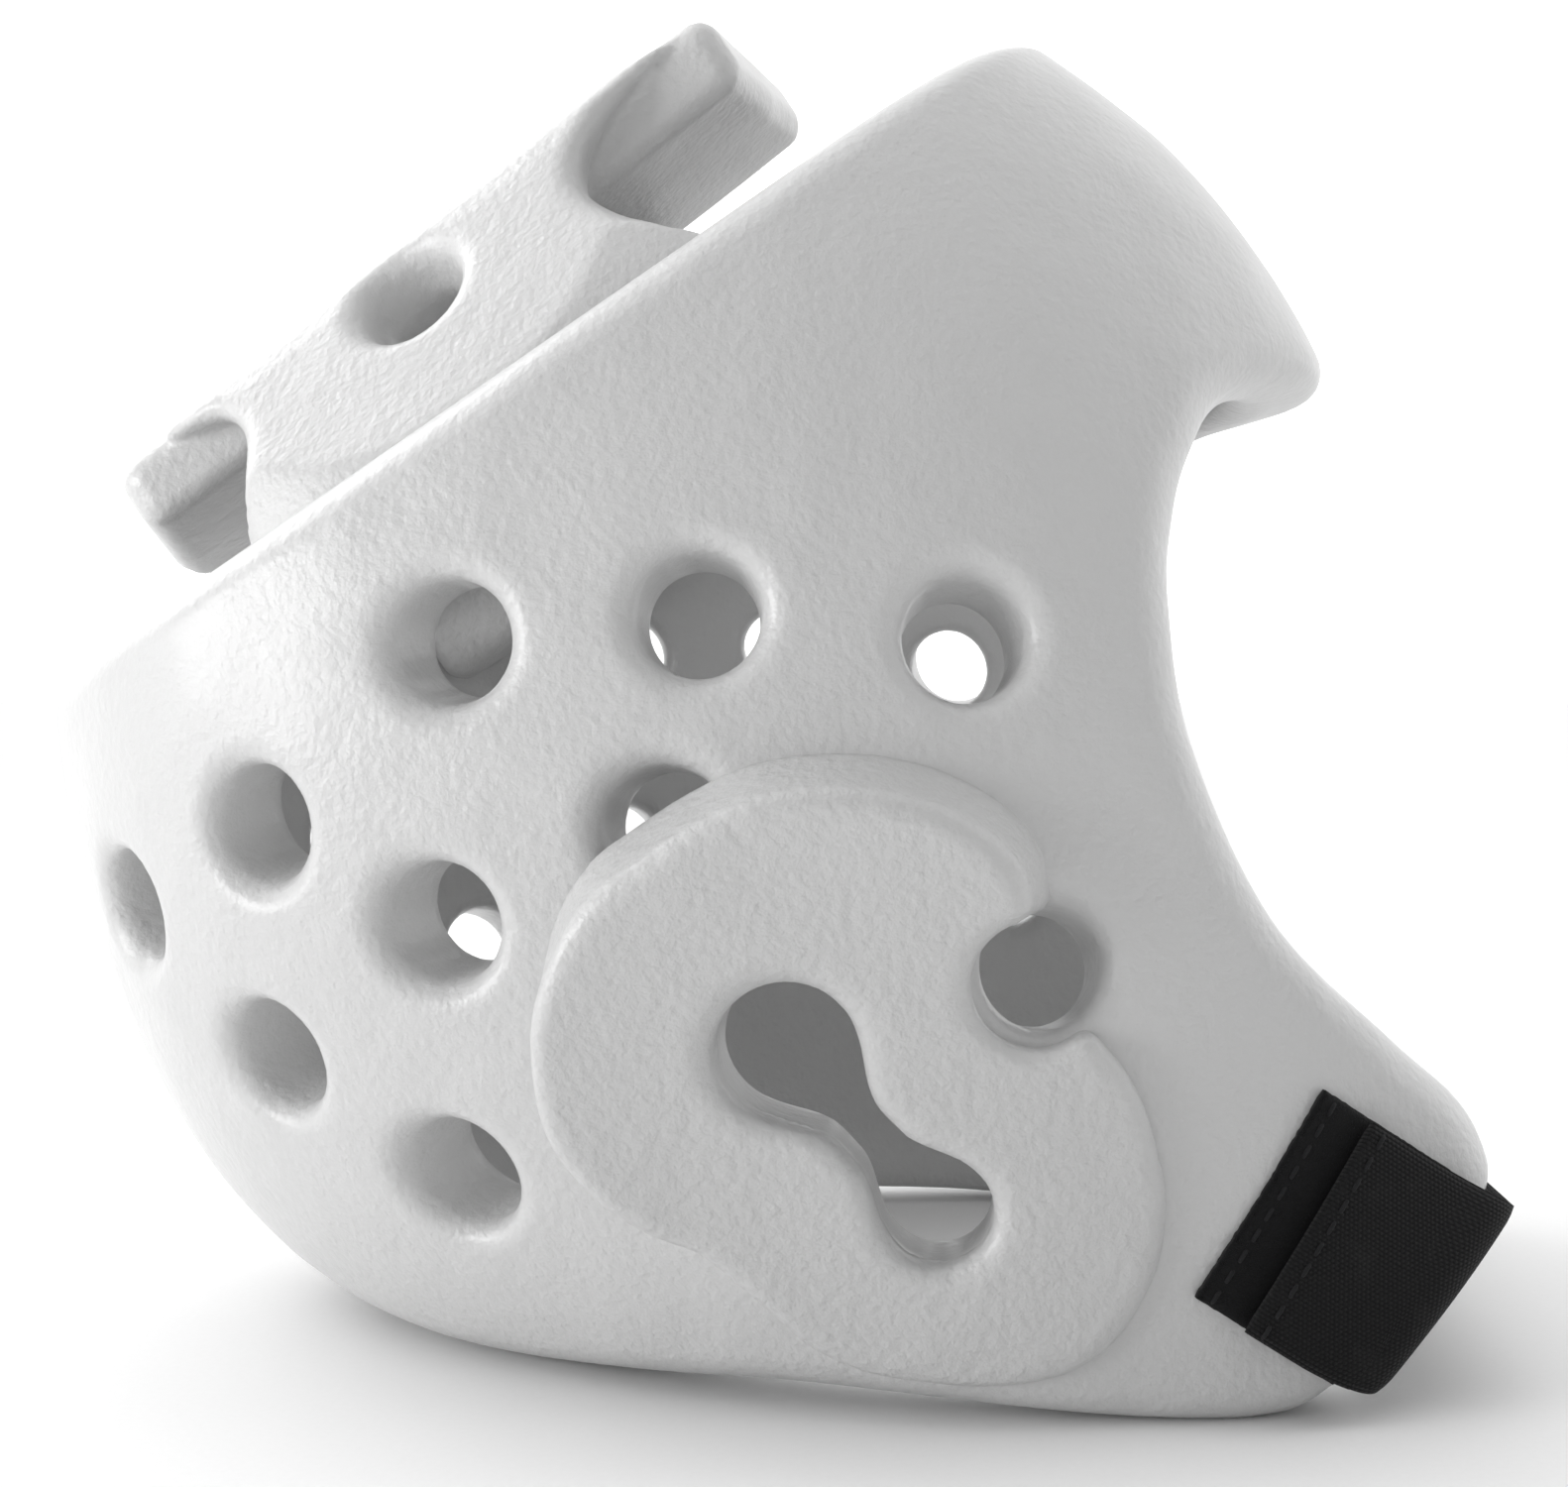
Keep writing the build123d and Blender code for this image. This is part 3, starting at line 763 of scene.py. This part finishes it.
def add_bump(nodes, links, height, distance, before=None):
    """Relief of a height in metres over what came before."""
    node = nodes.new("ShaderNodeBump")
    node.inputs["Distance"].default_value = distance
    node.inputs["Strength"].default_value = 1.0
    links.new(height, node.inputs["Height"])
    if before is not None:
        links.new(before, node.inputs["Normal"])
    return node.outputs["Normal"]


def foam_material(name, peel, peel_scale, tone):
    """Dipped white skin: orange peel over soft waves, with faint grey rubs."""
    material, nodes, links, shader = new_material(name)
    place = nodes.new("ShaderNodeTexCoord").outputs["Object"]
    waves = add_noise(nodes, links, place, 55, 2)
    skin = add_noise(nodes, links, place, peel_scale, 2, 0.4)
    grain = add_noise(nodes, links, place, 2.4 * peel_scale, 3, 0.6)
    rubs = add_noise(nodes, links, place, 70, 6, 0.7)
    patches = add_noise(nodes, links, place, 22, 3)
    rub_share = add_range(nodes, links, rubs, 0.62, 0.75, 0.0, 0.35)
    plain = add_mix(nodes, links, patches, tuple(0.97 * c for c in tone), tone)
    colour = add_mix(nodes, links, rub_share, plain, tuple(0.9 * c for c in tone))
    links.new(colour, shader.inputs["Base Color"])
    links.new(add_range(nodes, links, rubs, 0.3, 0.7, 0.34, 0.46), shader.inputs["Roughness"])
    normal = add_bump(nodes, links, waves, 0.0009)
    normal = add_bump(nodes, links, skin, peel, normal)
    normal = add_bump(nodes, links, grain, 0.35 * peel, normal)
    links.new(normal, shader.inputs["Normal"])
    shader.inputs["IOR"].default_value = 1.46
    shader.inputs["Coat Weight"].default_value = 0.25
    shader.inputs["Coat Roughness"].default_value = 0.22
    shader.inputs["Sheen Weight"].default_value = 0.03
    return material


RIB_WIDTH = 1.35
PICK_LENGTH = 0.9


def webbing_material(name):
    """Flat black webbing: ribs along it, picks across it, painted shade in the weave's hollows, paler where it
    has rubbed.
    """
    material, nodes, links, shader = new_material(name)
    uv = nodes.new("ShaderNodeUVMap")
    uv.uv_map = "Weave"
    split = nodes.new("ShaderNodeSeparateXYZ")
    links.new(uv.outputs["UV"], split.inputs[0])
    along, across = split.outputs[0], split.outputs[1]
    rib = add_math(nodes, links, "SINE", add_math(nodes, links, "MULTIPLY", across, 2 * math.pi / RIB_WIDTH))
    turn = add_math(nodes, links, "MULTIPLY", add_math(nodes, links, "SIGN", rib), math.pi / 2)
    picks = add_math(nodes, links, "MULTIPLY", along, 2 * math.pi / PICK_LENGTH)
    pick = add_math(nodes, links, "SINE", add_math(nodes, links, "ADD", picks, turn))
    rib_height = add_math(nodes, links, "ABSOLUTE", rib)
    height = add_math(nodes, links, "MULTIPLY", rib_height, add_range(nodes, links, pick, -1, 1, 0.45, 1.0))
    place = nodes.new("ShaderNodeTexCoord").outputs["Object"]
    fuzz = add_noise(nodes, links, place, 2500, 3, 0.7)
    wear = add_range(nodes, links, add_noise(nodes, links, place, 120, 5, 0.7), 0.55, 0.75, 0.0, 0.5)
    # Painted shade: the colour follows the weave's height, darker in its hollows and lighter on its raised
    # ribs.
    plain = add_mix(nodes, links, height, (0.0025, 0.0025, 0.0028), (0.010, 0.010, 0.0105))
    links.new(add_mix(nodes, links, wear, plain, (0.018, 0.018, 0.018)), shader.inputs["Base Color"])
    links.new(add_range(nodes, links, fuzz, 0.3, 0.7, 0.7, 0.9), shader.inputs["Roughness"])
    normal = add_bump(nodes, links, height, 0.00022)
    links.new(add_bump(nodes, links, fuzz, 0.00006, normal), shader.inputs["Normal"])
    shader.inputs["Sheen Weight"].default_value = 0.04
    shader.inputs["Sheen Roughness"].default_value = 0.5
    shader.inputs["Specular IOR Level"].default_value = 0.18
    return material


def cloth_material(name, tone, pile_scale, pile):
    """Black pile, moulded hooks or thread: a fine uneven relief, with painted shade where it sinks and lighter
    colour where it stands up.
    """
    material, nodes, links, shader = new_material(name)
    place = nodes.new("ShaderNodeTexCoord").outputs["Object"]
    tufts_and_shade = add_noise(nodes, links, place, pile_scale, 4, 0.7)
    strands = add_noise(nodes, links, place, 3.2 * pile_scale, 3, 0.6)
    # Painted shade: the colour follows the tufts of the relief, darker where they sink and lighter where they
    # stand up.
    colour = add_mix(nodes, links, tufts_and_shade, tuple(0.4 * c for c in tone), tuple(1.6 * c for c in tone))
    links.new(colour, shader.inputs["Base Color"])
    links.new(add_range(nodes, links, strands, 0.3, 0.7, 0.65, 0.95), shader.inputs["Roughness"])
    normal = add_bump(nodes, links, tufts_and_shade, pile)
    links.new(add_bump(nodes, links, strands, 0.3 * pile, normal), shader.inputs["Normal"])
    shader.inputs["Sheen Weight"].default_value = 0.05
    shader.inputs["Sheen Roughness"].default_value = 0.6
    shader.inputs["Specular IOR Level"].default_value = 0.15
    return material


def floor_material():
    """Plain pale paper."""
    material, nodes, links, shader = new_material("Studio_paper")
    place = nodes.new("ShaderNodeTexCoord").outputs["Object"]
    grain = add_noise(nodes, links, place, 900, 3)
    links.new(add_mix(nodes, links, grain, (0.88, 0.88, 0.88), (0.92, 0.92, 0.92)), shader.inputs["Base Color"])
    shader.inputs["Roughness"].default_value = 0.9
    shader.inputs["Specular IOR Level"].default_value = 0.1
    return material


def give(piece, material, body, slot, *nodes):
    """Material, body and the CAD nodes that a piece stands for; the record slot is not used."""
    piece.data.materials.append(material)
    if body:
        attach(piece, body)
    if nodes:
        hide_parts(*nodes)


# ---------------------------------------------------------------- foam
shell = foam_piece("Foam_shell", shell_field, (-170, -101, -140), (100, 0, 99), True)
crown = foam_piece("Foam_crown", crown_field, (-128, -75, 58), (50, 75, 129), False)
pad_right = foam_piece("Foam_ear_pad_right", pad_field, (-105, -115, -110), (30, -40, 15), False)
pad_left = mirrored_piece("Foam_ear_pad_left", pad_right)

WHITE = (0.55, 0.55, 0.55)
SHELL_NODES = ("shell_front_right", "shell_front_left", "shell_rear_right", "shell_rear_left")
skin = foam_material("Dipped_skin", 0.0003, 600, WHITE)
# The pads' skin is the shell's skin made 3% darker as painted shade for the pads' faces, which turn to the dim
# front, with a stronger peel of its own.
shaded_pad_skin = foam_material("Dipped_skin_pad_shaded", 0.00042, 560, tuple(0.97 * c for c in WHITE))
give(shell, skin, "guard", "foam_white", *SHELL_NODES)
give(crown, skin, "guard", "foam_white", "crown_plate", "crown_leg_right", "crown_leg_left")
give(pad_right, shaded_pad_skin, "guard", "foam_white", "ear_pad_right")
give(pad_left, shaded_pad_skin, "guard", "foam_white", "ear_pad_left")

# ---------------------------------------------------------------- strap
webbing = webbing_material("Webbing")
loop_cloth = cloth_material("Loop_pile", (0.0045, 0.0045, 0.005), 1500, 0.0002)
hook_cloth = cloth_material("Hook_tape", (0.008, 0.008, 0.009), 900, 0.00008)
thread = cloth_material("Thread", (0.012, 0.012, 0.013), 3000, 0.00006)

places = np.linspace(-STRAP_HALF, STRAP_HALF, STRAP_COLUMNS)
grid = np.stack([strap_line(across, HOOK_OUT + WEB / 2) for across in places], axis=1)
band_near = ribbon("Strap_near", grid, WEB)
band_far = ribbon("Strap_far", grid[:, ::-1] * (1, -1, 1), WEB)
for band, body, side in ((band_near, "strap_end", 1), (band_far, "guard", -1)):
    fold = [on_flap(u, 0, HOOK_OUT) * (1, side, 1) * MM for u in (FOLD_AT - FOLD_EASE, FOLD_AT + FOLD_EASE)]
    give(band, webbing, None, "webbing_black", "strap_web")
    tuple(fold[0])
    tuple(fold[1])
    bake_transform(band)
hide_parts("strap_tab")
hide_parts("strap_anchor")

loop_patch = flap_slab("Loop_patch", 0, 0.0, LOOP, PILE_FUZZ)
loop_pile = patch_fibres("Loop_pile_fibres", LOOP)
hook_patch = flap_slab("Hook_patch", TAB_START + HOOK_MARGIN, HOOK_IN + HOOK_STEM, HOOK_OUT)
hook_rows = hooks("Hook_rows", TAB_START + HOOK_MARGIN, HOOK_IN + HOOK_STEM)
give(loop_patch, loop_cloth, "guard", "loop_black", "loop_patch")
give(loop_pile, loop_cloth, "guard", "loop_black")
give(hook_patch, hook_cloth, "strap_end", "hook_black", "hook_patch")
give(hook_rows, hook_cloth, "strap_end", "hook_black")

patch_thread = thread_row("Patch_stitching", STITCH_INSET, LOOP)
tab_thread = thread_row("Tab_stitching", TAB_START + STITCH_INSET, HOOK_OUT + WEB)
give(patch_thread, thread, "guard", "thread_black", "patch_stitching")
give(tab_thread, thread, "strap_end", "thread_black", "tab_stitching")

# The strap's sewn end, made on the right and moved across
anchor_form = flap_slab("Anchor_form", 0, 0.0, HOOK_OUT, PILE_FUZZ)
give(mirrored_piece("Anchor_patch", anchor_form), loop_cloth, "guard", "loop_black", "anchor_patch")
bpy.data.objects.remove(anchor_form)
for name, along in (("Anchor_stitching_front", FOLD_AT - STITCH_INSET),
                    ("Anchor_stitching_rear", TAB_START + STITCH_INSET)):
    row_form = thread_row("Anchor_row_form", along, HOOK_OUT + WEB)
    give(mirrored_piece(name, row_form), thread, "guard", "thread_black", "anchor_stitching")
    bpy.data.objects.remove(row_form)


# ---------------------------------------------------------------- studio, metres and watts
CENTRE = (0, 0, 0.115)
LIGHT_SIZE = 0.8
LIGHTS = (("Low_left", (-1.25, -0.6, 0.12), 17), ("Rear_left", (-1.1, 0.6, 0.9), 6))
SKY_TOWARD = Vector((0, 1, 0.7))
SKY_DIM, SKY_BRIGHT = 0.3, 1.5
SKY_TURN = (-0.1, 0.5)
HORIZON = 1.08
HORIZON_BAND = (0.04, 0.2)
FLOOR_HALF = 30
CAMERA_AWAY = 0.42
YAW, PITCH = math.radians(4.21), math.radians(-1.29)
SENSOR, LENS = 36, 50.06


def area_light(name, place, power):
    """A soft square light that points at the guard's middle."""
    light = bpy.data.lights.new(name, "AREA")
    light.shape = "SQUARE"
    light.size = LIGHT_SIZE
    light.energy = power
    lamp = bpy.data.objects.new(name, light)
    bpy.context.scene.collection.objects.link(lamp)
    lamp.location = place
    lamp.rotation_euler = (Vector(CENTRE) - Vector(place)).to_track_quat("-Z", "Y").to_euler()


def studio_world():
    """Soft surrounding light, brighter on one side, with a pale band where the floor ends."""
    world = bpy.data.worlds.new("Studio")
    bpy.context.scene.world = world
    world.use_nodes = True
    nodes, links = world.node_tree.nodes, world.node_tree.links
    place = nodes.new("ShaderNodeTexCoord").outputs["Generated"]
    dot = nodes.new("ShaderNodeVectorMath")
    dot.operation = "DOT_PRODUCT"
    dot.inputs[1].default_value = SKY_TOWARD.normalized()
    links.new(place, dot.inputs[0])
    strength = add_range(nodes, links, dot.outputs["Value"], *SKY_TURN, SKY_DIM, SKY_BRIGHT)
    split = nodes.new("ShaderNodeSeparateXYZ")
    links.new(place, split.inputs[0])
    height = add_math(nodes, links, "ABSOLUTE", split.outputs[2])
    horizon = add_range(nodes, links, height, *HORIZON_BAND, HORIZON, 0.0)
    strength = add_math(nodes, links, "MAXIMUM", strength, horizon)
    links.new(strength, nodes["Background"].inputs["Strength"])
    nodes["Background"].inputs["Color"].default_value = (1, 1, 1, 1)


studio_world()
for light in LIGHTS:
    area_light(*light)

mesh = bpy.data.meshes.new("Floor")
corners = [(x * FLOOR_HALF, y * FLOOR_HALF, 0) for x, y in ((-1, -1), (1, -1), (1, 1), (-1, 1))]
mesh.from_pydata(corners, [], [(0, 1, 2, 3)])
floor = bpy.data.objects.new("Floor", mesh)
bpy.context.scene.collection.objects.link(floor)
mesh.materials.append(floor_material())

# As the photograph sees the guard
camera = bpy.data.objects.new("Camera", bpy.data.cameras.new("Camera"))
bpy.context.scene.collection.objects.link(camera)
camera.location = (HEAD_X * MM, -CAMERA_AWAY, HEAD_Z * MM)
camera.rotation_euler = (math.pi / 2 + PITCH, 0, YAW)
camera.data.sensor_width = SENSOR
camera.data.lens = LENS
bpy.context.scene.camera = camera
bpy.context.scene.view_settings.view_transform = "Standard"
